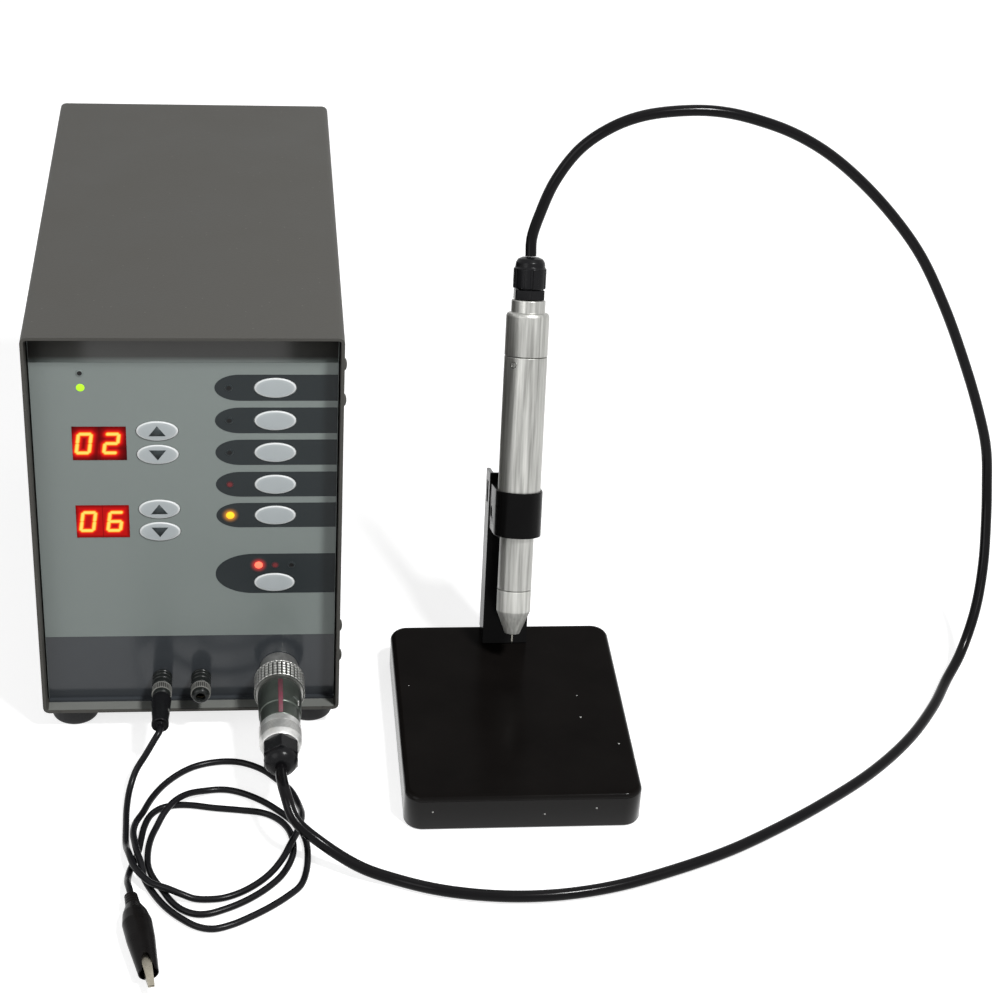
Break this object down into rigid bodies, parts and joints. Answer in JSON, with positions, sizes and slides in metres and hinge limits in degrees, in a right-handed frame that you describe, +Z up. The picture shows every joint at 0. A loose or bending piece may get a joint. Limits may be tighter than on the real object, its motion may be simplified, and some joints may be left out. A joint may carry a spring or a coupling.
{
  "type": "spot welder",
  "caption": "Bench spot welder: box case with recessed key panel and twin digit displays, a cabled pen handpiece in a leaning stand, and an earth lead with a spring clip",
  "frame": {"origin": "middle of the footprint of the case, the stand and the handpiece, on the bench top", "axes": "+X to the right seen from the front, +Y from the front panel towards the rear panel, +Z up"},
  "size_m": [0.5016, 0.474, 0.2918],
  "materials": {
    "cover_paint": "matt dark warm grey powder coat",
    "panel_film": "satin grey-green film with a dark lower strip",
    "panel_steel": "painted sheet steel",
    "black_rubber": "matt black rubber",
    "black_plastic": "satin black plastic",
    "button_plastic": "soft printed keys",
    "display_plastic": "dark red filter over orange-red digits",
    "circuit_board": "green board",
    "brass_contact": "plated brass",
    "bright_metal": "nickel plated",
    "dark_metal": "satin gunmetal finish",
    "aluminium": "fine turned finish",
    "gloss_black_metal": "gloss black enamel",
    "cable_jacket": "smooth black jacket",
    "electrode_metal": "drawn wire",
    "copper": "turned collet",
    "core_steel": "laminated core and winding",
    "capacitor_sleeve": "sleeved can"
  },
  "bodies": {
    "station": {"case_cover": "cover_paint", "base_tray": "cover_paint", "front_panel": "panel_steel", "panel_overlay": "panel_film", "rear_panel": "cover_paint", "foot_front_left": "black_rubber", "foot_front_right": "black_rubber", "foot_rear_left": "black_rubber", "foot_rear_right": "black_rubber", "display_power": "display_plastic", "display_time": "display_plastic", "control_board": "circuit_board", "binding_post_left": "brass_contact", "binding_post_right": "brass_contact", "connector_socket": "bright_metal", "plug_body": "dark_metal", "plug_clamp_ring": "bright_metal", "plug_gland": "black_plastic", "handpiece_cable": "cable_jacket", "earth_lead": "cable_jacket", "clip_lower_jaw": "bright_metal", "clip_boot": "black_rubber", "stand_base": "gloss_black_metal", "stand_post": "gloss_black_metal", "ring_holder": "black_plastic", "holder_bolt": "bright_metal", "transformer": "core_steel", "capacitor_left": "capacitor_sleeve", "capacitor_right": "capacitor_sleeve", "power_board": "circuit_board", "mains_inlet": "black_plastic", "power_switch_body": "black_plastic", "fuse_holder": "black_plastic"},
    "power_up": {"power_up": "button_plastic"},
    "power_down": {"power_down": "button_plastic"},
    "time_up": {"time_up": "button_plastic"},
    "time_down": {"time_down": "button_plastic"},
    "program_button_1": {"program_button_1": "button_plastic"},
    "program_button_2": {"program_button_2": "button_plastic"},
    "program_button_3": {"program_button_3": "button_plastic"},
    "program_button_4": {"program_button_4": "button_plastic"},
    "program_button_5": {"program_button_5": "button_plastic"},
    "select_button": {"select_button": "button_plastic"},
    "post_cap_left": {"post_cap_left": "black_plastic"},
    "post_cap_right": {"post_cap_right": "black_plastic"},
    "banana_plug": {"banana_plug": "black_plastic"},
    "coupling_ring": {"coupling_ring": "bright_metal"},
    "clip_upper_jaw": {"clip_upper_jaw": "bright_metal"},
    "power_rocker": {"power_rocker": "black_plastic"},
    "fuse_cap": {"fuse_cap": "black_plastic"},
    "handpiece": {"handpiece_barrel": "aluminium", "handpiece_end_cap": "aluminium", "handpiece_gland": "black_plastic", "handpiece_gland_nut": "black_plastic", "collet": "copper"},
    "handpiece_nose": {"handpiece_nose": "aluminium"},
    "electrode": {"electrode": "electrode_metal"}
  },
  "joints": [
    {"name": "power_up_press", "type": "slide", "parent": "station", "child": "power_up", "axis": [0, 1, 0], "range_m": [0, 0.0004], "stiffness_N_per_m": 400, "springref_m": -0.0005},
    {"name": "power_down_press", "type": "slide", "parent": "station", "child": "power_down", "axis": [0, 1, 0], "range_m": [0, 0.0004], "stiffness_N_per_m": 400, "springref_m": -0.0005},
    {"name": "time_up_press", "type": "slide", "parent": "station", "child": "time_up", "axis": [0, 1, 0], "range_m": [0, 0.0004], "stiffness_N_per_m": 400, "springref_m": -0.0005},
    {"name": "time_down_press", "type": "slide", "parent": "station", "child": "time_down", "axis": [0, 1, 0], "range_m": [0, 0.0004], "stiffness_N_per_m": 400, "springref_m": -0.0005},
    {"name": "program_button_1_press", "type": "slide", "parent": "station", "child": "program_button_1", "axis": [0, 1, 0], "range_m": [0, 0.0004], "stiffness_N_per_m": 400, "springref_m": -0.0005},
    {"name": "program_button_2_press", "type": "slide", "parent": "station", "child": "program_button_2", "axis": [0, 1, 0], "range_m": [0, 0.0004], "stiffness_N_per_m": 400, "springref_m": -0.0005},
    {"name": "program_button_3_press", "type": "slide", "parent": "station", "child": "program_button_3", "axis": [0, 1, 0], "range_m": [0, 0.0004], "stiffness_N_per_m": 400, "springref_m": -0.0005},
    {"name": "program_button_4_press", "type": "slide", "parent": "station", "child": "program_button_4", "axis": [0, 1, 0], "range_m": [0, 0.0004], "stiffness_N_per_m": 400, "springref_m": -0.0005},
    {"name": "program_button_5_press", "type": "slide", "parent": "station", "child": "program_button_5", "axis": [0, 1, 0], "range_m": [0, 0.0004], "stiffness_N_per_m": 400, "springref_m": -0.0005},
    {"name": "select_button_press", "type": "slide", "parent": "station", "child": "select_button", "axis": [0, 1, 0], "range_m": [0, 0.0004], "stiffness_N_per_m": 400, "springref_m": -0.0005},
    {"name": "post_cap_left_turn", "type": "hinge", "parent": "station", "child": "post_cap_left", "pos_m": [-0.0849, -0.1036, 0.026], "axis": [0, -1, 0], "continuous": true},
    {"name": "post_cap_right_turn", "type": "hinge", "parent": "station", "child": "post_cap_right", "pos_m": [-0.06585, -0.1036, 0.026], "axis": [0, -1, 0], "continuous": true},
    {"name": "banana_plug_pull", "type": "slide", "parent": "station", "child": "banana_plug", "axis": [0, -1, 0], "range_m": [0, 0.019], "deforming": ["earth_lead"]},
    {"name": "coupling_ring_turn", "type": "hinge", "parent": "station", "child": "coupling_ring", "pos_m": [-0.0272, -0.1086, 0.031], "axis": [0, -1, 0], "continuous": true},
    {"name": "clip_jaw_open", "type": "hinge", "parent": "station", "child": "clip_upper_jaw", "pos_m": [-0.08951, -0.26254, 0.0066], "axis": [-0.9818, -0.19, 0], "range_deg": [0, 15], "stiffness_Nm_per_rad": 0.05, "springref_deg": -11.46, "deforming": ["clip_boot"]},
    {"name": "power_rocker_tilt", "type": "hinge", "parent": "station", "child": "power_rocker", "pos_m": [-0.0665, 0.1691, 0.044], "axis": [1, 0, 0], "range_deg": [-8, 8]},
    {"name": "fuse_cap_turn", "type": "hinge", "parent": "station", "child": "fuse_cap", "pos_m": [-0.0305, 0.1784, 0.044], "axis": [0, 1, 0], "continuous": true},
    {"name": "handpiece_lift", "type": "slide", "parent": "station", "child": "handpiece", "axis": [0.0341, 0.3665, 0.9298], "range_m": [0, 0.1], "deforming": ["handpiece_cable"]},
    {"name": "nose_turn", "type": "hinge", "parent": "handpiece", "child": "handpiece_nose", "pos_m": [0.09182, -0.06954, 0.04728], "axis": [0.0341, 0.3665, 0.9298], "continuous": true},
    {"name": "electrode_slide", "type": "slide", "parent": "handpiece", "child": "electrode", "axis": [0.0341, 0.3665, 0.9298], "range_m": [-0.005, 0.0015]}
  ]
}
